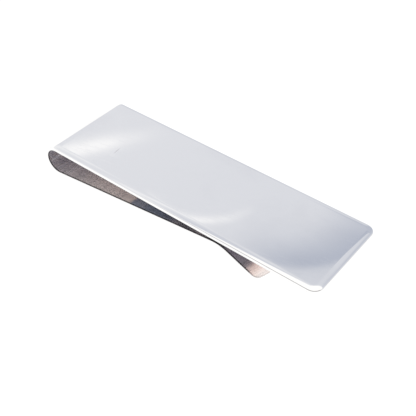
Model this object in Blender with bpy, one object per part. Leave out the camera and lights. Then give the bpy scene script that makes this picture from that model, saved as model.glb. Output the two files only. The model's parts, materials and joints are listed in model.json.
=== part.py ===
"""Money clip: one strip of polished sterling silver, bent double into a spring.

The strip runs from the tip of the face plate, back round a U-bend, and forward again
under the plate as a spring leaf. The leaf rises to a rounded crest, which pinches the
banknotes against the plate, and ends in a lip that drops away to let them in.

The strip is modelled in its own frame, side view in X and Z: X = 0 is the outside of
the bend, Z = 0 is the plate's outer face, Y = 0 is the middle of the strip's width.
An empty then tips it into the attitude in which it lies on a table, on the bend and
the end of the lip, with the origin at the bottom centre of its bounding box.

The strip is drawn as its six forming zones. The leaf's four zones hang from an empty
on the spring's axis, which crosses the wall of the bend at its crown.
"""

import math

import bmesh
import bpy

MM = 0.001

# Driving dimensions
PLATE_LENGTH = 65.0 * MM  # outside of the bend to the plate's tip
STRIP_WIDTH = 20.0 * MM
SHEET = 1.0 * MM  # thickness of the silver
EDGE_RADIUS = 0.25 * MM  # softening of every edge
BEND_INSIDE_RADIUS = 2.5 * MM
CREST_X = 43.7 * MM  # where the leaf comes closest to the plate
CREST_RADIUS = 7.0 * MM  # of the crest's upper face
CREST_CLEARANCE = 0.3 * MM  # between the crest and the plate, with nothing in the clip
LIP_ANGLE = math.radians(22.5)  # below the plate's plane
LIP_END_X = 54.5 * MM
PLATE_CORNER_RADIUS = 2.0 * MM
LIP_CORNER_RADIUS = 1.6 * MM
LIP_BOW_RADIUS = 33.0 * MM  # the lip's end is a shallow arc across the strip
ZONE_GAP = 0.3 * MM  # between neighbouring zones, along the strip
ARC_STEP = math.radians(4.0)  # largest turn from one facet of an arc to the next
EDGE_ARC_STEP = math.radians(31.0)  # the same, round an edge in the strip's cross-section

WELD_DISTANCE = 0.001 * MM
SHARP_ANGLE = math.radians(40.0)

HALF_SHEET = SHEET / 2
HALF_WIDTH = STRIP_WIDTH / 2
HALF_GAP = ZONE_GAP / 2

# The U-bend: its centre, and the radii of its middle and outside
BEND_RADIUS = BEND_INSIDE_RADIUS + HALF_SHEET
BEND_OUTSIDE_RADIUS = BEND_INSIDE_RADIUS + SHEET
BEND_X = BEND_OUTSIDE_RADIUS
BEND_Z = -BEND_OUTSIDE_RADIUS

# The crest: the centre of its arc, and the radius of the sheet's middle there
CREST_Z = -SHEET - CREST_CLEARANCE - CREST_RADIUS
CREST_MID_RADIUS = CREST_RADIUS - HALF_SHEET


def lean_of_tangent(run, drop, distance):
    """Angle a with run * sin(a) + drop * cos(a) == distance."""
    return math.asin(distance / math.hypot(run, drop)) - math.atan2(drop, run)


# The leaf is straight between the bend and the crest, and tangent to both
LEAF_ANGLE = lean_of_tangent(CREST_X - BEND_X, BEND_Z - CREST_Z, CREST_RADIUS + BEND_INSIDE_RADIUS)


def on_bend(turn):
    """Point on the middle of the bend's wall, after turning from the plate."""
    return (BEND_X - BEND_RADIUS * math.sin(turn), BEND_Z + BEND_RADIUS * math.cos(turn))


def on_crest(lean):
    """Point on the middle of the crest's wall, at an angle past its top."""
    return (CREST_X + CREST_MID_RADIUS * math.sin(lean), CREST_Z + CREST_MID_RADIUS * math.cos(lean))


BEND_TURN = math.pi + LEAF_ANGLE
LEAF_START = on_bend(BEND_TURN)
LEAF_END = on_crest(-LEAF_ANGLE)
LIP_START = on_crest(LIP_ANGLE)
LIP_LENGTH = (LIP_END_X - HALF_SHEET * math.sin(LIP_ANGLE) - LIP_START[0]) / math.cos(LIP_ANGLE)
HINGE = on_bend(math.pi / 2)

# Lowest point of the lip's end face, on which the clip lies together with the bend
TOE_X = LIP_START[0] + LIP_LENGTH * math.cos(LIP_ANGLE) - HALF_SHEET * math.sin(LIP_ANGLE)
TOE_Z = LIP_START[1] - LIP_LENGTH * math.sin(LIP_ANGLE) - HALF_SHEET * math.cos(LIP_ANGLE)
REST_ANGLE = lean_of_tangent(TOE_X - BEND_X, BEND_Z - TOE_Z, BEND_OUTSIDE_RADIUS)

LEAF_FINISH = {"colour": (0.86, 0.85, 0.84), "roughness": 0.16}
FACE_FINISH = {"colour": (0.90, 0.91, 0.93), "roughness": 0.10}


def clear_scene():
    for old in list(bpy.data.objects):
        bpy.data.objects.remove(old, do_unlink=True)


def new_collection(name):
    collection = bpy.data.collections.new(name)
    bpy.context.scene.collection.children.link(collection)
    return collection


def silver(name, colour, roughness):
    """Polished sterling silver."""
    material = bpy.data.materials.new(name)
    material.use_nodes = True
    shader = material.node_tree.nodes["Principled BSDF"]
    shader.inputs["Base Color"].default_value = (*colour, 1.0)
    shader.inputs["Metallic"].default_value = 1.0
    shader.inputs["Roughness"].default_value = roughness
    material.diffuse_color = (*colour, 1.0)
    return material


def arc(point_at, start, end, step=ARC_STEP):
    """Points of an arc from one angle to another, evenly spaced."""
    steps = math.ceil(abs(end - start) / step)
    return [point_at(start + (end - start) * i / steps) for i in range(steps + 1)]


def corner(centre, radius, start, end, step=ARC_STEP):
    """Points of a rounded corner in a flat outline."""
    x, y = centre
    return arc(lambda a: (x + radius * math.cos(a), y + radius * math.sin(a)), start, end, step)


def new_curve(name, points, closed):
    curve = bpy.data.curves.new(name, "CURVE")
    curve.dimensions = "2D"
    spline = curve.splines.new("POLY")
    spline.points.add(len(points) - 1)
    for point, (x, y) in zip(spline.points, points):
        point.co = (x, y, 0.0, 1.0)
    spline.use_cyclic_u = closed
    return curve


def add_object(name, data, collection, parent):
    item = bpy.data.objects.new(name, data)
    collection.objects.link(item)
    item.parent = parent
    return item


def add_empty(name, collection, parent, location):
    empty = add_object(name, None, collection, parent)
    empty.empty_display_size = HALF_WIDTH
    empty.location = location
    return empty


def strip_section(collection):
    """Cross-section of the strip, the guide that the curved zones are swept with."""
    half_x = HALF_SHEET - EDGE_RADIUS
    half_y = HALF_WIDTH - EDGE_RADIUS
    middles = ((half_x, half_y), (-half_x, half_y), (-half_x, -half_y), (half_x, -half_y))
    points = []
    for quarter, middle in enumerate(middles):
        start = quarter * math.pi / 2
        points += corner(middle, EDGE_RADIUS, start, start + math.pi / 2, EDGE_ARC_STEP)
    curve = new_curve("strip_section", points, closed=True)
    curve.fill_mode = "NONE"
    guide = add_object("strip_section", curve, collection, None)
    guide.hide_render = True
    guide.display_type = "WIRE"
    return guide


def solid_from_curve(name, curve, finish, collection, parent):
    """A curve's surface as one closed mesh, with its caps joined on."""
    source = add_object(name + "_curve", curve, collection, None)
    evaluated = source.evaluated_get(bpy.context.evaluated_depsgraph_get())
    mesh = bpy.data.meshes.new_from_object(evaluated)
    bpy.data.objects.remove(source)
    mesh.name = name

    skin = bmesh.new()
    skin.from_mesh(mesh)
    bmesh.ops.remove_doubles(skin, verts=skin.verts, dist=WELD_DISTANCE)
    bmesh.ops.recalc_face_normals(skin, faces=skin.faces)
    skin.to_mesh(mesh)
    skin.free()

    mesh.materials.append(silver(name + "_silver", **finish))
    mesh.shade_smooth()
    mesh.set_sharp_from_angle(angle=SHARP_ANGLE)
    return add_object(name, mesh, collection, parent)


def swept_zone(name, path, section, finish, collection, parent):
    """A zone whose middle follows a path in the side view."""
    curve = new_curve(name, path, closed=False)
    curve.bevel_mode = "OBJECT"
    curve.bevel_object = section
    curve.use_fill_caps = True
    zone = solid_from_curve(name, curve, finish, collection, parent)
    zone.rotation_euler = (math.pi / 2, 0.0, 0.0)
    zone.location = -parent.location
    return zone


def flat_zone(name, outline, finish, collection, parent):
    """A zone cut to a plan outline, which is given inside the edge's rounding."""
    curve = new_curve(name, outline, closed=True)
    curve.fill_mode = "BOTH"
    curve.extrude = HALF_SHEET - EDGE_RADIUS
    curve.bevel_depth = EDGE_RADIUS
    curve.bevel_resolution = 2
    return solid_from_curve(name, curve, finish, collection, parent)


def plate_outline():
    """Plan of the face plate: square at the bend, with round corners at the tip."""
    start = BEND_X + HALF_GAP + EDGE_RADIUS
    side = HALF_WIDTH - EDGE_RADIUS
    corner_x = PLATE_LENGTH - PLATE_CORNER_RADIUS
    corner_y = HALF_WIDTH - PLATE_CORNER_RADIUS
    radius = PLATE_CORNER_RADIUS - EDGE_RADIUS
    return [
        (start, -side),
        *corner((corner_x, -corner_y), radius, -math.pi / 2, 0.0),
        *corner((corner_x, corner_y), radius, 0.0, math.pi / 2),
        (start, side),
    ]


def lip_outline():
    """Plan of the lip, X along it: round corners, and an end that bows outwards."""
    start = HALF_GAP + EDGE_RADIUS
    side = HALF_WIDTH - EDGE_RADIUS
    bow_x = LIP_LENGTH - LIP_BOW_RADIUS
    bow = LIP_BOW_RADIUS - EDGE_RADIUS
    radius = LIP_CORNER_RADIUS - EDGE_RADIUS
    corner_y = HALF_WIDTH - LIP_CORNER_RADIUS
    bow_end = math.asin(corner_y / (bow - radius))
    corner_x = bow_x + (bow - radius) * math.cos(bow_end)
    return [
        (start, -side),
        *corner((corner_x, -corner_y), radius, -math.pi / 2, -bow_end),
        *corner((bow_x, 0.0), bow, -bow_end, bow_end)[1:-1],
        *corner((corner_x, corner_y), radius, bow_end, math.pi / 2),
        (start, side),
    ]


def along(start, end, distance):
    """Point at a distance from start on the line to end."""
    length = math.dist(start, end)
    return tuple(a + (b - a) * distance / length for a, b in zip(start, end))


def rest_location():
    """Where the strip's own origin goes, so that the box stands centred on the origin."""
    sine, cosine = math.sin(REST_ANGLE), math.cos(REST_ANGLE)
    back = BEND_X * cosine + BEND_Z * sine - BEND_OUTSIDE_RADIUS
    tip = (PLATE_LENGTH - EDGE_RADIUS) * cosine - EDGE_RADIUS * sine + EDGE_RADIUS
    bottom = BEND_Z * cosine - BEND_X * sine - BEND_OUTSIDE_RADIUS
    return (-(back + tip) / 2, 0.0, -bottom)


def build():
    clear_scene()
    collection = new_collection("money_clip")
    section = strip_section(new_collection("guides"))

    clip = add_empty("clip_at_rest", collection, None, rest_location())
    clip.rotation_euler = (0.0, REST_ANGLE, 0.0)
    face = add_empty("face_frame", collection, clip, (0.0, 0.0, 0.0))
    leaf = add_empty("leaf_hinge", collection, clip, (HINGE[0], 0.0, HINGE[1]))

    # The face: a flat plate and the upper half of the bend
    plate = flat_zone("face_plate", plate_outline(), FACE_FINISH, collection, face)
    plate.location = (0.0, 0.0, -HALF_SHEET)
    bend_gap = HALF_GAP / BEND_RADIUS
    upper = arc(on_bend, bend_gap, math.pi / 2 - bend_gap)
    swept_zone("bend_upper", upper, section, FACE_FINISH, collection, face)

    # The leaf: the lower half of the bend, the spring arm, the crest and the lip
    lower = arc(on_bend, math.pi / 2 + bend_gap, BEND_TURN - bend_gap)
    swept_zone("bend_lower", lower, section, LEAF_FINISH, collection, leaf)
    arm = [along(LEAF_START, LEAF_END, HALF_GAP), along(LEAF_END, LEAF_START, HALF_GAP)]
    swept_zone("spring_arm", arm, section, LEAF_FINISH, collection, leaf)
    crest_gap = HALF_GAP / CREST_MID_RADIUS
    crest = arc(on_crest, -LEAF_ANGLE + crest_gap, LIP_ANGLE - crest_gap)
    swept_zone("grip_crest", crest, section, LEAF_FINISH, collection, leaf)
    lip = flat_zone("lead_in_lip", lip_outline(), LEAF_FINISH, collection, leaf)
    lip.location = (LIP_START[0] - HINGE[0], 0.0, LIP_START[1] - HINGE[1])
    lip.rotation_euler = (0.0, LIP_ANGLE, 0.0)


build()
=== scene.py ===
"""Looks of the money clip: polished silver strip, white table, studio light and camera.

The strip's surface is worked out from its blank, the flat piece of silver it is bent from.
A place on the blank is a distance along the strip from the plate's tip, a distance across
it from the middle, and a height above or below the sheet's middle. The strip's side view
then bends the blank into the plate, the U-bend, the spring arm, the crest and the lip.
"""

import json
import math

import bpy
from mathutils import Matrix, Vector


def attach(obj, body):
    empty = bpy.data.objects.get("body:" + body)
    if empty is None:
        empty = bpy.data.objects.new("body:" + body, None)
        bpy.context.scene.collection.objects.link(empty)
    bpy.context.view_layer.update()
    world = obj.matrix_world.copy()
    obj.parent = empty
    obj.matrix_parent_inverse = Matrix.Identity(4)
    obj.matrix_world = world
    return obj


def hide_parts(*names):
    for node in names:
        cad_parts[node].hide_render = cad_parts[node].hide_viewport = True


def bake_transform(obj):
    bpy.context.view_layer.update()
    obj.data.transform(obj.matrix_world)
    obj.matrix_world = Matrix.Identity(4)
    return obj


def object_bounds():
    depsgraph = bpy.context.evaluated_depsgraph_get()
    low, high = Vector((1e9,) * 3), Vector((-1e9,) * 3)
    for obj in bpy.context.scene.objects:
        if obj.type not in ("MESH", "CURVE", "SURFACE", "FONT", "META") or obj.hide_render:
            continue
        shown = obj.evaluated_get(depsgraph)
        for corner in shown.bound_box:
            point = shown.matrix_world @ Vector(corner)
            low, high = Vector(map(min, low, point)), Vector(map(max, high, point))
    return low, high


MM = 0.001

# The strip, as in the CAD
PLATE_LENGTH = 65.0 * MM
STRIP_WIDTH = 20.0 * MM
SHEET = 1.0 * MM
BEND_INSIDE_RADIUS = 2.5 * MM
CREST_X = 43.7 * MM
CREST_RADIUS = 7.0 * MM
CREST_CLEARANCE = 0.3 * MM
LIP_ANGLE = math.radians(22.5)
LIP_END_X = 54.5 * MM
PLATE_CORNER_RADIUS = 2.0 * MM
PLATE_BOW_RADIUS = 5.0  # so large that the plate's tip is straight
LIP_CORNER_RADIUS = 1.6 * MM
LIP_BOW_RADIUS = 33.0 * MM

HALF_SHEET = SHEET / 2
HALF_WIDTH = STRIP_WIDTH / 2
BEND_RADIUS = BEND_INSIDE_RADIUS + HALF_SHEET
BEND_X = BEND_INSIDE_RADIUS + SHEET
BEND_Z = -BEND_X
CREST_Z = -SHEET - CREST_CLEARANCE - CREST_RADIUS
CREST_MID_RADIUS = CREST_RADIUS - HALF_SHEET

# The polished edge: the outer face rolls off softly, along an ellipse, until it is steep
# enough for the side's round; the inner face has a small round of its own
ROLL_WIDTH = 1.2 * MM
ROLL_DEPTH = 0.30 * MM
ROLL_TILT = math.radians(40.0)
SIDE_ROUND = 0.30 * MM
INNER_ROUND = 0.12 * MM
ROLL_STEPS = 14
ROUND_STEPS = 8
INNER_STEPS = 6
FLAT_MARGIN = 0.06 * MM  # flat border that keeps the outer face's shading flat up to the edge
DARK_MARGIN = 0.12 * MM  # border of the inner face that the dark rim's painted shade takes in

STUB = 1.5 * MM  # straight stretch of plate and arm that the bend's piece takes in
ARC_STEP = math.radians(2.0)
FLAT_STEP = 1.2 * MM
CORNER_STEPS = 7
END_STEPS = 18
END_REACH = 3.0  # corner radii over which the rows of points take on the shape of a free end
SHARP_ANGLE = math.radians(50.0)


# ---------------------------------------------------------------- side view of the strip


def lean_of_tangent(run, drop, distance):
    """Angle a with run * sin(a) + drop * cos(a) == distance."""
    return math.asin(distance / math.hypot(run, drop)) - math.atan2(drop, run)


LEAF_ANGLE = lean_of_tangent(CREST_X - BEND_X, BEND_Z - CREST_Z, CREST_RADIUS + BEND_INSIDE_RADIUS)
ARM_RUN = CREST_X - CREST_MID_RADIUS * math.sin(LEAF_ANGLE) - BEND_X - BEND_RADIUS * math.sin(LEAF_ANGLE)
LIP_START_X = CREST_X + CREST_MID_RADIUS * math.sin(LIP_ANGLE)
LIP_RUN = LIP_END_X - HALF_SHEET * math.sin(LIP_ANGLE) - LIP_START_X

# Each stretch of the side view: its length along the sheet's middle, and its curvature
PLATE = (PLATE_LENGTH - BEND_X, 0.0)
BEND = (BEND_RADIUS * (math.pi + LEAF_ANGLE), 1 / BEND_RADIUS)
ARM = (ARM_RUN / math.cos(LEAF_ANGLE), 0.0)
CREST = (CREST_MID_RADIUS * (LEAF_ANGLE + LIP_ANGLE), -1 / CREST_MID_RADIUS)
LIP = (LIP_RUN / math.cos(LIP_ANGLE), 0.0)
STRETCHES = (PLATE, BEND, ARM, CREST, LIP)

BEND_START = PLATE[0]
BEND_END = BEND_START + BEND[0]
CREST_START = BEND_END + ARM[0]
CREST_END = CREST_START + CREST[0]
STRIP_LENGTH = CREST_END + LIP[0]


def station(distance):
    """Point and outward normal of the sheet's middle, at a distance from the plate's tip."""
    x, z, heading = PLATE_LENGTH, -HALF_SHEET, math.pi
    for length, curvature in STRETCHES:
        step = min(distance, length)
        distance -= step
        turn = step * curvature
        if curvature:
            x += (math.sin(heading + turn) - math.sin(heading)) / curvature
            z -= (math.cos(heading + turn) - math.cos(heading)) / curvature
        else:
            x += step * math.cos(heading)
            z += step * math.sin(heading)
        heading += turn
        if distance <= 0:
            break
    return (x, z), (math.sin(heading), -math.cos(heading))


# ---------------------------------------------------------------- the frame

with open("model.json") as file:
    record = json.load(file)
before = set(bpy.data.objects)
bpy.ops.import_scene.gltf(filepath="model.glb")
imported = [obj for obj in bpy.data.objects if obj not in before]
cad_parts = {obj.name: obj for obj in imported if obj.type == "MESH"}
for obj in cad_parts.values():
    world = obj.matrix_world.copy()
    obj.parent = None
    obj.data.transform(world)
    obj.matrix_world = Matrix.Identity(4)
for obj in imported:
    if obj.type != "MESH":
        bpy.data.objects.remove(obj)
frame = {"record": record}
CAD_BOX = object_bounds()
RECORD = frame["record"]
HINGE_PIN = Vector(RECORD["behaviour"]["joints"][0]["pos_m"])
PLATE_NORMAL = Vector(RECORD["mounts"][0]["axis"]).normalized()
PLATE_FORWARD = Vector((PLATE_NORMAL.z, 0.0, -PLATE_NORMAL.x))
STRIP_ORIGIN = HINGE_PIN - PLATE_FORWARD * HALF_SHEET - PLATE_NORMAL * BEND_Z


def in_scene(x, y, z):
    """Scene position of a point in the strip's own frame."""
    return STRIP_ORIGIN + PLATE_FORWARD * x + Vector((0.0, y, 0.0)) + PLATE_NORMAL * z


def on_strip(distance, across, height):
    (x, z), (normal_x, normal_z) = station(distance)
    return in_scene(x + normal_x * height, across, z + normal_z * height)


# ---------------------------------------------------------------- surface of one piece


def edge_profile():
    """Inset and height of each ring round the edge, from the outer face to the inner."""
    roll_turn = math.atan(math.tan(ROLL_TILT) * ROLL_WIDTH / ROLL_DEPTH)
    roll_inset = SIDE_ROUND * (1 - math.sin(ROLL_TILT)) + ROLL_WIDTH * math.sin(roll_turn)
    roll_end = HALF_SHEET - ROLL_DEPTH * (1 - math.cos(roll_turn))
    rings = [(roll_inset + FLAT_MARGIN, HALF_SHEET)]
    for turn in spaced(0.0, roll_turn, ROLL_STEPS):
        drop = ROLL_DEPTH * (1 - math.cos(turn))
        rings.append((roll_inset - ROLL_WIDTH * math.sin(turn), HALF_SHEET - drop))
    for tilt in spaced(ROLL_TILT, math.pi / 2, ROUND_STEPS)[1:]:
        drop = SIDE_ROUND * (math.cos(ROLL_TILT) - math.cos(tilt))
        rings.append((SIDE_ROUND * (1 - math.sin(tilt)), roll_end - drop))
    for turn in spaced(0.0, math.pi / 2, INNER_STEPS):
        drop = INNER_ROUND * (1 - math.sin(turn))
        rings.append((INNER_ROUND * (1 - math.cos(turn)), drop - HALF_SHEET))
    rings.append((INNER_ROUND + DARK_MARGIN, -HALF_SHEET))
    return rings


def spaced(start, end, steps):
    return [start + (end - start) * step / steps for step in range(steps + 1)]


def free_end(corner_radius, bow_radius):
    """Outline of a rounded end: returns its corners' middle, and a function of the inset.

    The outline is (distance from the end, across), for an end that bows outwards.
    """
    corner_across = HALF_WIDTH - corner_radius
    corner_turn = math.acos(corner_across / (bow_radius - corner_radius))
    corner_along = bow_radius - (bow_radius - corner_radius) * math.sin(corner_turn)

    def corner_point(turn, inset):
        radius = corner_radius - inset
        side = -1 if turn < math.pi / 2 else 1
        along = corner_along - radius * math.sin(turn)
        return (along, side * corner_across - radius * math.cos(turn))

    def bow_point(turn, inset):
        radius = bow_radius - inset
        return (bow_radius - radius * math.sin(turn), -radius * math.cos(turn))

    def half_corner(start, end):
        return [(corner_point, turn) for turn in spaced(start, end, CORNER_STEPS)]

    middle = corner_turn / 2
    bow_turns = spaced(corner_turn, math.pi - corner_turn, END_STEPS)
    side_plan = half_corner(0.0, middle)
    end_plan = half_corner(middle, corner_turn)
    end_plan += [(bow_point, turn) for turn in bow_turns[1:-1]]
    end_plan += half_corner(math.pi - corner_turn, math.pi - middle)

    def side(inset):
        return [point(turn, inset) for point, turn in side_plan]

    def end(inset):
        return [point(turn, inset) for point, turn in end_plan]

    return corner_along, side, end


OUTER, INNER, RIM = range(3)  # finishes of a face, and its material slots


def ring_finish(index):
    """Finish of the band between one ring of the edge's profile and the next; the inner face's round and
    its border take the rim's painted shade.
    """
    return OUTER if index <= ROLL_STEPS + ROUND_STEPS + 1 else RIM


class Skin:
    """Gathers the points and faces of one piece's closed surface."""

    def __init__(self):
        self.points = []
        self.faces = []
        self.finishes = []

    def add(self, distance, across, height):
        self.points.append(on_strip(distance, across, height))
        return len(self.points) - 1

    def quads(self, row, next_row, finish=OUTER):
        for a, b, c, d in zip(row, row[1:], next_row[1:], next_row):
            self.faces.append((a, b, c, d))
            self.finishes.append(finish)

    def cap(self, ring):
        self.faces.append(tuple(ring))
        self.finishes.append(OUTER)

    def build(self, name, materials):
        mesh = bpy.data.meshes.new(name)
        mesh.from_pydata([tuple(point) for point in self.points], [], self.faces)
        for material in materials:
            mesh.materials.append(material)
        mesh.polygons.foreach_set("material_index", self.finishes)
        mesh.validate()
        mesh.shade_smooth()
        mesh.set_sharp_from_angle(angle=SHARP_ANGLE)
        piece = bpy.data.objects.new(name, mesh)
        bpy.context.scene.collection.objects.link(piece)
        return piece


def ended_piece(name, cuts, from_tip, corner_radius, bow_radius, materials):
    """A piece that runs from a cut across the strip to one of its free ends.

    cuts are the distances from the free end at which the rows cross the strip, from the
    cut inwards, and from_tip turns such a distance into one from the plate's tip.
    """
    corner_along, side, end = free_end(corner_radius, bow_radius)
    straight = [distance for distance in cuts if distance > corner_along]
    skin = Skin()

    def face(inset, height):
        """Rows of points across one face, from the cut to the end."""
        near = [(distance, inset - HALF_WIDTH) for distance in straight] + side(inset)
        tip = end(inset)
        corner, half_span = tip[0][0], -tip[0][1]
        reach = END_REACH * corner_radius
        rows = []
        for along, across in near:
            pull = max(0.0, 1.0 - (along - corner) / reach)
            row = []
            for tip_along, tip_across in tip:
                share = tip_across / half_span
                spot = along + pull * (tip_along - corner)
                row.append(skin.add(from_tip(spot), -across * share, height))
            rows.append(row)
        return rows

    def border(rows):
        """The free border of a face: near side, end, far side."""
        near = [row[0] for row in rows]
        far = [row[-1] for row in rows]
        return near + rows[-1][1:-1] + far[::-1]

    def ring(inset, height):
        near = [(distance, inset - HALF_WIDTH) for distance in straight] + side(inset)
        far = [(distance, -across) for distance, across in reversed(near)]
        plan = near + end(inset)[1:-1] + far
        return [skin.add(from_tip(distance), across, height) for distance, across in plan]

    profile = edge_profile()
    outer = face(*profile[0])
    inner = face(*profile[-1])
    rings = [border(outer)]
    rings += [ring(*step) for step in profile[1:-1]]
    rings.append(border(inner))
    for row, next_row in zip(outer, outer[1:]):
        skin.quads(row, next_row)
    for row, next_row in zip(inner, inner[1:]):
        skin.quads(next_row, row, INNER)
    for index, (loop, next_loop) in enumerate(zip(rings, rings[1:])):
        skin.quads(next_loop, loop, ring_finish(index))
    cut = [loop[0] for loop in rings] + inner[0][1:-1]
    cut += [loop[-1] for loop in reversed(rings)] + outer[0][-2:0:-1]
    skin.cap(cut)
    return skin.build(name, materials)


def middle_piece(name, cuts, materials):
    """A piece with a cut across the strip at both its ends."""
    profile = edge_profile()
    start = len(profile) - 1  # each ring's points from start to end are on the inner face
    end = start + END_STEPS
    last = end + start  # and those from last on, round to the first, on the outer face
    skin = Skin()
    rings = []
    for distance in cuts:
        near = [skin.add(distance, inset - HALF_WIDTH, height) for inset, height in profile]
        across = spaced(profile[-1][0] - HALF_WIDTH, HALF_WIDTH - profile[-1][0], END_STEPS)
        inner = [skin.add(distance, spot, -HALF_SHEET) for spot in across[1:-1]]
        far = [
            skin.add(distance, HALF_WIDTH - inset, height) for inset, height in reversed(profile)
        ]
        across = spaced(HALF_WIDTH - profile[0][0], profile[0][0] - HALF_WIDTH, END_STEPS)
        outer = [skin.add(distance, spot, HALF_SHEET) for spot in across[1:-1]]
        rings.append(near + inner + far + outer)
    for ring, next_ring in zip(rings, rings[1:]):
        loop = ring + ring[:1]
        next_loop = next_ring + next_ring[:1]
        for index in range(start):
            for low in (index, last - index - 1):
                skin.quads(next_loop[low : low + 2], loop[low : low + 2], ring_finish(index))
        skin.quads(next_loop[start : end + 1], loop[start : end + 1], INNER)
        skin.quads(next_loop[last:], loop[last:])
    skin.cap(rings[0])
    skin.cap(reversed(rings[-1]))
    return skin.build(name, materials)


def steps_along(start, end, curvature):
    """Cuts along one stretch, close together where it is curved."""
    length = abs(end - start)
    step = ARC_STEP / abs(curvature) if curvature else FLAT_STEP
    return spaced(start, end, math.ceil(length / step))


# ---------------------------------------------------------------- shader nodes


class Nodes:
    """Short ways to add and link the nodes of one tree; values are numbers or sockets."""

    def __init__(self, tree):
        self.tree = tree

    def add(self, kind, **settings):
        node = self.tree.nodes.new(kind)
        for key, value in settings.items():
            setattr(node, key, value)
        return node

    def feed(self, socket, value):
        if isinstance(value, bpy.types.NodeSocket):
            self.tree.links.new(value, socket)
        else:
            socket.default_value = value

    def math(self, operation, *values, clamp=False):
        node = self.add("ShaderNodeMath", operation=operation, use_clamp=clamp)
        for socket, value in zip(node.inputs, values):
            self.feed(socket, value)
        return node.outputs[0]

    def product(self, *values):
        result = values[0]
        for value in values[1:]:
            result = self.math("MULTIPLY", result, value)
        return result

    def dot(self, vector, axis):
        node = self.add("ShaderNodeVectorMath", operation="DOT_PRODUCT")
        self.feed(node.inputs[0], vector)
        self.feed(node.inputs[1], tuple(axis))
        return node.outputs["Value"]

    def rise(self, value, low, high):
        """0 below low, 1 above high, smooth between; high may be the lower of the two."""
        node = self.add("ShaderNodeMapRange", interpolation_type="SMOOTHSTEP")
        self.feed(node.inputs["Value"], value)
        flip = high < low
        node.inputs["From Min"].default_value = high if flip else low
        node.inputs["From Max"].default_value = low if flip else high
        node.inputs["To Min"].default_value = 1.0 if flip else 0.0
        node.inputs["To Max"].default_value = 0.0 if flip else 1.0
        return node.outputs[0]

    def bell(self, value, width):
        """Gaussian of a value."""
        scaled = self.math("DIVIDE", value, width)
        square = self.math("MULTIPLY", scaled, scaled)
        return self.math("EXPONENT", self.math("MULTIPLY", square, -0.5))

    def mix(self, factor, first, second):
        """Blend of two colours: the first where the factor is 0, the second where it is 1."""
        node = self.add("ShaderNodeMix", data_type="RGBA")
        self.feed(node.inputs["Factor"], factor)
        for name, colour in (("A", first), ("B", second)):
            if not isinstance(colour, bpy.types.NodeSocket):
                colour = (*colour, 1.0)
            self.feed(node.inputs[name], colour)
        return node.outputs["Result"]

    def noise(self, vector, scale, detail=2.0, roughness=0.5, distortion=0.0):
        node = self.add("ShaderNodeTexNoise")
        self.feed(node.inputs["Vector"], vector)
        node.inputs["Scale"].default_value = scale
        node.inputs["Detail"].default_value = detail
        node.inputs["Roughness"].default_value = roughness
        node.inputs["Distortion"].default_value = distortion
        return node.outputs["Fac"]

    def stretched(self, vector, angle, scale):
        """A vector turned about Z and scaled, for patterns that run one way."""
        node = self.add("ShaderNodeMapping", vector_type="TEXTURE")
        self.feed(node.inputs["Vector"], vector)
        node.inputs["Rotation"].default_value = (0.0, 0.0, math.radians(angle))
        node.inputs["Scale"].default_value = scale
        return node.outputs[0]

    def hairlines(self, vector, angle, spacing, length, amount):
        """Fine straight scratches that all run one way: 0 on clean metal, 1 on a scratch."""
        lines = self.noise(self.stretched(vector, angle, (length, spacing, spacing)), 1.0, 3.0, 0.6)
        return self.rise(lines, 1.0 - amount, 1.08 - amount)


def new_material(name):
    material = bpy.data.materials.new(name)
    material.use_nodes = True
    return material, Nodes(material.node_tree), material.node_tree.nodes["Principled BSDF"]


# ---------------------------------------------------------------- materials


def along_strip(nodes, place):
    """How far forward of the bend's outside a place is, as a fraction of the plate."""
    start = STRIP_ORIGIN.dot(PLATE_FORWARD)
    forward = nodes.math("SUBTRACT", nodes.dot(place, PLATE_FORWARD), start)
    return nodes.math("DIVIDE", forward, PLATE_LENGTH)


# The one nick in the plate: its place in the strip's frame, and its size
NICK_X = 13.7 * MM
NICK_Y = -2.9 * MM
NICK_TURN = math.radians(5.0)
NICK_LENGTH = 0.55 * MM
NICK_WIDTH = 0.08 * MM


def polished_silver():
    """Outer face and edges: mirror polish, with hairlines and a faint haze of handling."""
    material, nodes, shader = new_material("polished_silver")
    place = nodes.add("ShaderNodeTexCoord").outputs["Object"]

    haze = nodes.rise(nodes.noise(place, 90.0, 4.0, 0.55, 0.4), 0.45, 0.75)
    fine = nodes.hairlines(place, 12.0, 0.10 * MM, 14 * MM, 0.40)
    cross = nodes.hairlines(place, -58.0, 0.08 * MM, 6 * MM, 0.34)
    scratches = nodes.math("ADD", fine, cross, clamp=True)

    from_nick = nodes.add("ShaderNodeVectorMath", operation="SUBTRACT")
    nodes.feed(from_nick.inputs[0], place)
    nodes.feed(from_nick.inputs[1], tuple(in_scene(NICK_X, NICK_Y, 0.0)))
    turn_x, turn_y = math.cos(NICK_TURN), math.sin(NICK_TURN)
    nick = nodes.product(
        nodes.bell(nodes.dot(from_nick.outputs[0], (turn_x, turn_y, 0.0)), NICK_WIDTH),
        nodes.bell(nodes.dot(from_nick.outputs[0], (-turn_y, turn_x, 0.0)), NICK_LENGTH),
    )

    colour = nodes.mix(haze, (0.945, 0.940, 0.930), (0.915, 0.910, 0.905))
    nodes.feed(shader.inputs["Base Color"], nodes.mix(nick, colour, (0.74, 0.72, 0.72)))
    shader.inputs["Metallic"].default_value = 1.0
    roughness = nodes.math("MULTIPLY_ADD", haze, 0.02, 0.03)
    roughness = nodes.math("MULTIPLY_ADD", scratches, 0.025, roughness)
    nodes.feed(shader.inputs["Roughness"], nodes.math("MULTIPLY_ADD", nick, 0.25, roughness))

    bump = nodes.add("ShaderNodeBump")
    bump.inputs["Strength"].default_value = 0.025
    bump.inputs["Distance"].default_value = 0.01 * MM
    nodes.feed(bump.inputs["Height"], nodes.math("SUBTRACT", scratches, nick))
    nodes.feed(shader.inputs["Normal"], bump.outputs[0])
    return material
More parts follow.
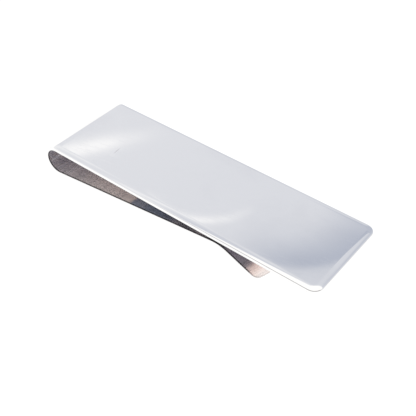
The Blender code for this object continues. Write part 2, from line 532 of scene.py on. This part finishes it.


# Painted reflections and shade of the inner face: colours by how far forward of the bend's outside they
# are
PAINTED_REFLECTION_TONES = (
    (0.0 * MM, (0.56, 0.56, 0.64)),
    (2.5 * MM, (0.62, 0.60, 0.66)),
    (5.0 * MM, (0.92, 0.86, 0.85)),
    (12.0 * MM, (1.0, 0.93, 0.90)),
    (21.8 * MM, (0.99, 0.92, 0.89)),
    (23.2 * MM, (1.0, 0.92, 0.88)),
    (23.6 * MM, (0.36, 0.41, 0.51)),
    (28.0 * MM, (0.42, 0.46, 0.55)),
    (33.0 * MM, (0.44, 0.45, 0.53)),
    (34.3 * MM, (0.72, 0.66, 0.68)),
    (35.8 * MM, (0.42, 0.40, 0.43)),
    (38.0 * MM, (0.52, 0.49, 0.54)),
    (40.5 * MM, (0.80, 0.73, 0.75)),
    (42.5 * MM, (0.26, 0.24, 0.27)),
    (44.0 * MM, (0.14, 0.13, 0.15)),
    (46.5 * MM, (0.50, 0.47, 0.54)),
    (48.5 * MM, (0.58, 0.55, 0.60)),
    (50.4 * MM, (0.42, 0.41, 0.45)),
    (51.9 * MM, (0.90, 0.78, 0.75)),
    (53.0 * MM, (1.0, 0.955, 0.93)),
)
# Colours of the painted darker reflection bands and the painted highlight streaks across the inner face
PAINTED_DARK_BAND = (0.40, 0.38, 0.42)
PAINTED_HIGHLIGHT = (0.98, 0.90, 0.86)
# Colour of the painted shade, near black, on the round and border of the inner face's edges
PAINTED_RIM_SHADE = (0.05, 0.045, 0.05)
LIP_END_FADE = (50.4 * MM, 52.8 * MM)  # over this stretch, towards the lip's end, the rim's painted shade fades and the metal turns more metallic


def silver_with_painted_reflections(name, rim_shade_share):
    """Inner face: painted reflections and shade along the strip, with painted dark bands and painted
    highlight streaks across it.

    The second argument is the share of its surface painted nearly black as shade, short of the lip's
    end.
    """
    material, nodes, shader = new_material(name)
    place = nodes.add("ShaderNodeTexCoord").outputs["Object"]
    forward = along_strip(nodes, place)

    bands = nodes.noise(nodes.stretched(place, 80.0, (26 * MM, 1.3 * MM, 40 * MM)), 1.0, 1.0, 0.5)
    fine = nodes.noise(nodes.stretched(place, 74.0, (18 * MM, 0.40 * MM, 20 * MM)), 1.0, 1.0, 0.5)
    cloud = nodes.noise(place, 120.0, 2.0, 0.5, 0.8)
    shift = nodes.product(nodes.math("SUBTRACT", cloud, 0.5), 0.012)
    # The ramp paints reflections and shade into the colour: near black at the crest's pinch, pale
    # towards the lip's end where it stands for the table's reflection
    ramp = nodes.add("ShaderNodeValToRGB")
    nodes.feed(ramp.inputs[0], nodes.math("ADD", forward, shift))
    stops = ramp.color_ramp.elements
    while len(stops) < len(PAINTED_REFLECTION_TONES):
        stops.new(1.0)
    for stop, (distance, colour) in zip(stops, PAINTED_REFLECTION_TONES):
        stop.position = distance / PLATE_LENGTH
        stop.color = (*colour, 1.0)

    # Painted dark bands and painted highlight streaks across the strip, mixed into the colour
    dark_band_mask = nodes.rise(bands, 0.50, 0.34)
    highlight_mask = nodes.rise(nodes.math("MULTIPLY_ADD", fine, 0.4, bands), 0.76, 0.90)
    colour = nodes.mix(nodes.product(dark_band_mask, 0.22), ramp.outputs[0], PAINTED_DARK_BAND)
    colour = nodes.mix(nodes.product(highlight_mask, 0.35), colour, PAINTED_HIGHLIGHT)
    # Painted shade of the dark rim, which fades to a quarter over the stretch towards the lip's end
    clear = nodes.rise(forward, *(distance / PLATE_LENGTH for distance in LIP_END_FADE))
    dark = nodes.product(nodes.math("MULTIPLY_ADD", clear, -0.75, 1.0), rim_shade_share)
    colour = nodes.mix(dark, colour, PAINTED_RIM_SHADE)
    nodes.feed(shader.inputs["Base Color"], colour)
    nodes.feed(shader.inputs["Metallic"], nodes.math("MULTIPLY_ADD", clear, 0.36, 0.62))
    nodes.feed(shader.inputs["Roughness"], nodes.math("MULTIPLY_ADD", bands, -0.10, 0.30))

    bump = nodes.add("ShaderNodeBump")
    bump.inputs["Strength"].default_value = 0.05
    bump.inputs["Distance"].default_value = 0.01 * MM
    nodes.feed(bump.inputs["Height"], fine)
    nodes.feed(shader.inputs["Normal"], bump.outputs[0])
    return material


TABLE_SIZE = 3.0
TABLE_DROP = 7.5 * MM  # the table is this far below the clip, so that the leaf can open clear of it
TABLE_LIT = (1.0, 1.0, 1.0)
TABLE_DIM = (0.62, 0.60, 0.60)
LIT_UP_TO = 60 * MM  # how far to the right and in front of the clip's middle it stays lit
DIM_FROM = 160 * MM


def lit_table():
    """A white light table: bright enough of its own that no shadow shows on it."""
    material, nodes, shader = new_material("lit_table")
    place = nodes.add("ShaderNodeTexCoord").outputs["Object"]
    grain = nodes.noise(place, 30.0, 4.0)
    paint = nodes.mix(grain, (0.13, 0.13, 0.13), (0.15, 0.15, 0.15))
    nodes.feed(shader.inputs["Base Color"], paint)
    east = nodes.rise(nodes.dot(place, (1.0, 0.0, 0.0)), LIT_UP_TO, DIM_FROM)
    south = nodes.rise(nodes.dot(place, (0.0, -1.0, 0.0)), LIT_UP_TO, DIM_FROM)
    glow = nodes.mix(nodes.math("MAXIMUM", east, south), TABLE_LIT, TABLE_DIM)
    nodes.feed(shader.inputs["Emission Color"], glow)
    shader.inputs["Roughness"].default_value = 0.9
    shader.inputs["Specular IOR Level"].default_value = 0.1
    shader.inputs["Emission Strength"].default_value = 0.97
    return material


# ---------------------------------------------------------------- camera

CAMERA_AZIMUTH = math.radians(37.84)  # to the right of straight in front
CAMERA_ELEVATION = math.radians(42.21)
CAMERA_ROLL = math.radians(0.69)
CAMERA_DISTANCE = 138.4 * MM
CAMERA_TARGET = (38.23 * MM, -4.83 * MM, 0.0)  # in the strip's frame
CAMERA_LENS = 65.74
CAMERA_SENSOR = 36.0


def camera_spot():
    """The camera's place in the strip's frame."""
    level = CAMERA_DISTANCE * math.cos(CAMERA_ELEVATION)
    x = CAMERA_TARGET[0] + level * math.sin(CAMERA_AZIMUTH)
    y = CAMERA_TARGET[1] - level * math.cos(CAMERA_AZIMUTH)
    return (x, y, CAMERA_DISTANCE * math.sin(CAMERA_ELEVATION))


def add_camera():
    data = bpy.data.cameras.new("camera")
    data.lens = CAMERA_LENS
    data.sensor_width = CAMERA_SENSOR
    data.clip_start = 1 * MM
    data.clip_end = 10.0
    camera = bpy.data.objects.new("camera", data)
    bpy.context.scene.collection.objects.link(camera)

    x, y, z = (a - b for a, b in zip(camera_spot(), CAMERA_TARGET))
    back = (PLATE_FORWARD * x + Vector((0.0, y, 0.0)) + PLATE_NORMAL * z).normalized()
    right = PLATE_NORMAL.cross(back).normalized()
    up = back.cross(right)
    turned_right = right * math.cos(CAMERA_ROLL) + up * math.sin(CAMERA_ROLL)
    turned_up = up * math.cos(CAMERA_ROLL) - right * math.sin(CAMERA_ROLL)
    axes = Matrix((turned_right, turned_up, back)).transposed()
    camera.matrix_world = Matrix.Translation(in_scene(*camera_spot())) @ axes.to_4x4()
    bpy.context.scene.camera = camera


# ---------------------------------------------------------------- studio

# Colours of the panels, lamps and walls
CEILING = (0.768, 0.782, 0.832)
DIM_PANEL = (0.470, 0.505, 0.600)
LAMP = (1.0, 1.0, 1.015)
WHITE = (1.08, 1.08, 1.08)
SOFT_WHITE = (0.87, 0.88, 0.91)
DIM_BORDER = (0.66, 0.68, 0.75)
FAR_WALL = (0.93, 0.93, 0.95)
TIP_WALL = (0.84, 0.81, 0.82)
ROOM = (0.32, 0.305, 0.31)

# The studio's layout, in millimetres on the plate, as the camera sees it mirrored there
ROUND_PANEL_CENTRE = (50.5, 5.5)
ROUND_PANEL_RIM = (14.2, 16.4)  # inside and outside radius of its soft rim
ROUND_PANEL_FADE = (2.0, 17.0)  # radii between which the ceiling greys
STRAIGHT_EDGE = (-3.3, -5.8)  # across, where the straight panel's soft edge starts and ends
STRAIGHT_EDGE_SLOPE = 0.08
SOFT_LAMP_CENTRE = (8.2, -6.0)
SOFT_LAMP_TURN = math.radians(59.0)
SOFT_LAMP_LENGTH = 6.7
SOFT_LAMP_WIDTH = 1.65
RING_LAMP_CENTRE = (32.5, 2.0)
RING_LAMP_RADIUS = 12.2
RING_LAMP_WIDTH = 0.65
TAIL_X = 41.0
TAIL_WIDTH = 2.2
LOWEST_HEIGHT = 0.03  # keeps the layout finite at the plate's horizon


class MirroredPlace:
    """Where the camera sees each direction of the sky mirrored in the plate.

    The plate is a flat mirror, so a direction above it meets the plate, in the camera's
    view, at one place: x and y are that place, in millimetres in the strip's frame.
    """

    def __init__(self, nodes, direction):
        self.nodes = nodes
        height = nodes.math("MAXIMUM", nodes.dot(direction, PLATE_NORMAL), LOWEST_HEIGHT)
        spot_x, spot_y, spot_z = (value / MM for value in camera_spot())
        slope_x = nodes.math("DIVIDE", nodes.dot(direction, PLATE_FORWARD), height)
        slope_y = nodes.math("DIVIDE", nodes.dot(direction, (0.0, 1.0, 0.0)), height)
        self.x = nodes.math("MULTIPLY_ADD", slope_x, spot_z, spot_x)
        self.y = nodes.math("MULTIPLY_ADD", slope_y, spot_z, spot_y)

    def offset(self, centre):
        nodes = self.nodes
        return nodes.math("SUBTRACT", self.x, centre[0]), nodes.math("SUBTRACT", self.y, centre[1])

    def polar(self, centre):
        """Distance and bearing from a centre."""
        nodes = self.nodes
        off_x, off_y = self.offset(centre)
        square = nodes.math("MULTIPLY_ADD", off_x, off_x, nodes.product(off_y, off_y))
        return nodes.math("SQRT", square), nodes.math("ARCTAN2", off_y, off_x)

    def turned(self, centre, angle):
        """Distances from a centre, along an angle and across it."""
        nodes = self.nodes
        off_x, off_y = self.offset(centre)
        cos, sin = math.cos(angle), math.sin(angle)
        along = nodes.math("MULTIPLY_ADD", off_x, cos, nodes.product(off_y, sin))
        across = nodes.math("MULTIPLY_ADD", off_y, cos, nodes.product(off_x, -sin))
        return along, across


def ceiling_panels(nodes, place):
    """The ceiling, which greys towards the tip.

    It greys up to the rim of a round panel and the edge of a straight one, beyond which
    it is lighter.
    """
    radius, _ = place.polar(ROUND_PANEL_CENTRE)
    slanted = nodes.math("MULTIPLY_ADD", place.x, -STRAIGHT_EDGE_SLOPE, place.y)
    past_edge = nodes.rise(slanted, *STRAIGHT_EDGE)
    outside = nodes.product(nodes.rise(radius, *ROUND_PANEL_RIM), past_edge)
    past_tip = nodes.product(nodes.rise(place.x, 63.4, 66.0), past_edge)

    dim = nodes.math("MULTIPLY_ADD", outside, -0.78, nodes.rise(radius, *ROUND_PANEL_FADE))
    dim = nodes.math("MULTIPLY", dim, nodes.rise(place.x, 44.0, 60.0), clamp=True)
    dim = nodes.product(dim, nodes.math("MULTIPLY_ADD", past_tip, -0.5, 1.0))
    dim = nodes.product(dim, nodes.rise(place.x, 130.0, 95.0))
    far_side = nodes.rise(place.y, 4.5, 9.0)
    dim = nodes.product(dim, nodes.math("MULTIPLY_ADD", far_side, -0.28, 1.0))
    dim = nodes.math("MULTIPLY_ADD", nodes.rise(place.x, 8.0, 60.0), 0.12, dim, clamp=True)
    return nodes.mix(dim, CEILING, DIM_PANEL)


def ceiling_borders(nodes, place, ceiling):
    """What the rolled edges show: the ceiling past the plate's sides and tip."""
    far = nodes.product(nodes.rise(place.y, 30.0, 110.0), 0.3)
    tip_depth = nodes.math("MULTIPLY_ADD", nodes.rise(place.y, -9.0, -3.0), 0.25, 0.35)
    tip = nodes.product(
        nodes.rise(place.x, 86.0, 120.0), nodes.rise(place.x, 190.0, 140.0), tip_depth
    )
    ceiling = nodes.mix(nodes.math("MAXIMUM", far, tip), ceiling, DIM_PANEL)

    near = nodes.mix(nodes.rise(place.x, 18.0, 30.0), SOFT_WHITE, CEILING)
    near_dim = nodes.product(nodes.rise(place.x, 45.0, 54.0), nodes.rise(place.y, -26.0, -44.0))
    near = nodes.mix(near_dim, near, DIM_BORDER)
    ceiling = nodes.mix(nodes.rise(place.y, -11.0, -26.0), ceiling, near)

    # The near corner of the tip is white
    slanted = nodes.math("MULTIPLY_ADD", place.x, -5.0, place.y)
    corner = nodes.product(nodes.rise(slanted, -362.0, -382.0), nodes.rise(place.y, -14.0, -26.0))
    return nodes.mix(corner, ceiling, WHITE)


def lamps(nodes, place, ceiling):
    """A long soft lamp, and the thin edge of a round one with a straight tail."""
    along, across = place.turned(SOFT_LAMP_CENTRE, SOFT_LAMP_TURN)
    soft = nodes.product(
        nodes.bell(along, SOFT_LAMP_LENGTH), nodes.bell(across, SOFT_LAMP_WIDTH)
    )
    radius, bearing = place.polar(RING_LAMP_CENTRE)
    ring = nodes.product(
        nodes.bell(nodes.math("SUBTRACT", radius, RING_LAMP_RADIUS), RING_LAMP_WIDTH),
        nodes.rise(bearing, 0.0, math.radians(-50.0)),
        nodes.rise(bearing, math.radians(-125.0), math.radians(-100.0)),
    )
    tail = nodes.product(
        nodes.bell(nodes.math("SUBTRACT", place.x, TAIL_X), TAIL_WIDTH),
        nodes.rise(place.y, -10.0, -18.0),
        0.7,
    )
    glow = nodes.product(nodes.math("MAXIMUM", ring, tail), 0.85)
    glow = nodes.math("MULTIPLY_ADD", soft, 1.25, glow, clamp=True)
    return nodes.mix(glow, ceiling, LAMP)


def walls(nodes, direction, ceiling):
    """White walls at table height, and the darker room behind the camera.

    The walls are higher on the bend's side.
    """
    rise = nodes.dot(direction, (0.0, 0.0, 1.0))
    east = nodes.dot(direction, (1.0, 0.0, 0.0))
    north = nodes.dot(direction, (0.0, 1.0, 0.0))
    west = nodes.math("MAXIMUM", nodes.math("MULTIPLY_ADD", east, -1.0, -0.6), 0.0)
    low = nodes.rise(nodes.math("MULTIPLY_ADD", west, -2.0, rise), 0.18, 0.06)
    wall = nodes.mix(nodes.rise(north, 0.6, 0.85), WHITE, FAR_WALL)
    wall = nodes.mix(nodes.rise(east, 0.4, 0.8), wall, TIP_WALL)
    dome = nodes.mix(low, ceiling, wall)

    towards_camera = (math.sin(CAMERA_AZIMUTH), -math.cos(CAMERA_AZIMUTH), 0.0)
    behind = nodes.rise(nodes.dot(direction, towards_camera), 0.25, 0.6)
    room = nodes.product(behind, nodes.rise(rise, 0.75, 0.5))
    return nodes.mix(room, dome, ROOM)


def add_studio():
    """A dome of soft panels and lamps, round the clip on all sides."""
    world = bpy.data.worlds.new("studio")
    world.use_nodes = True
    bpy.context.scene.world = world
    nodes = Nodes(world.node_tree)
    background = world.node_tree.nodes["Background"]
    direction = nodes.add("ShaderNodeTexCoord").outputs["Generated"]
    place = MirroredPlace(nodes, direction)

    ceiling = ceiling_panels(nodes, place)
    ceiling = ceiling_borders(nodes, place, ceiling)
    ceiling = lamps(nodes, place, ceiling)
    nodes.feed(background.inputs["Color"], walls(nodes, direction, ceiling))
    background.inputs["Strength"].default_value = 1.0


def add_table():
    floor_z = CAD_BOX[0][2] - TABLE_DROP
    mesh = bpy.data.meshes.new("table_top")
    half = TABLE_SIZE / 2
    corners = [(-half, -half), (half, -half), (half, half), (-half, half)]
    mesh.from_pydata([(x, y, floor_z) for x, y in corners], [], [(0, 1, 2, 3)])
    mesh.materials.append(lit_table())
    table = bpy.data.objects.new("table_top", mesh)
    bpy.context.scene.collection.objects.link(table)


# ---------------------------------------------------------------- the strip's three pieces


def add_clip():
    finishes = (
        polished_silver(),
        silver_with_painted_reflections("silver_with_painted_reflections", rim_shade_share=0.0),
        # The rim's finish: the inner face's colours with near black painted shade
        silver_with_painted_reflections("painted_shade_rim", rim_shade_share=0.9),
    )

    plate_cut = BEND_START - STUB
    cuts = steps_along(plate_cut, 0.0, 0.0)
    plate = ended_piece(
        "plate", cuts, lambda spot: spot, PLATE_CORNER_RADIUS, PLATE_BOW_RADIUS, finishes
    )
    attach(plate, "face")
    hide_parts("face_plate")

    arm_cut = BEND_END + STUB
    cuts = steps_along(plate_cut, BEND_START, 0.0)
    cuts += steps_along(BEND_START, BEND_END, BEND[1])[1:]
    cuts += steps_along(BEND_END, arm_cut, 0.0)[1:]
    bend = middle_piece("bend", cuts, finishes)
    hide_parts("bend_upper", "bend_lower")
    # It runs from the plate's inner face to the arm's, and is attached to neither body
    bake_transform(bend)

    cuts = steps_along(STRIP_LENGTH - arm_cut, STRIP_LENGTH - CREST_START, 0.0)
    cuts += steps_along(STRIP_LENGTH - CREST_START, STRIP_LENGTH - CREST_END, CREST[1])[1:]
    cuts += steps_along(STRIP_LENGTH - CREST_END, 0.0, 0.0)[1:]
    leaf = ended_piece(
        "leaf", cuts, lambda spot: STRIP_LENGTH - spot, LIP_CORNER_RADIUS, LIP_BOW_RADIUS, finishes
    )
    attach(leaf, "leaf")
    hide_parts("spring_arm", "grip_crest", "lead_in_lip")


add_camera()
add_studio()
add_table()
add_clip()
bpy.context.scene.view_settings.view_transform = "Standard"
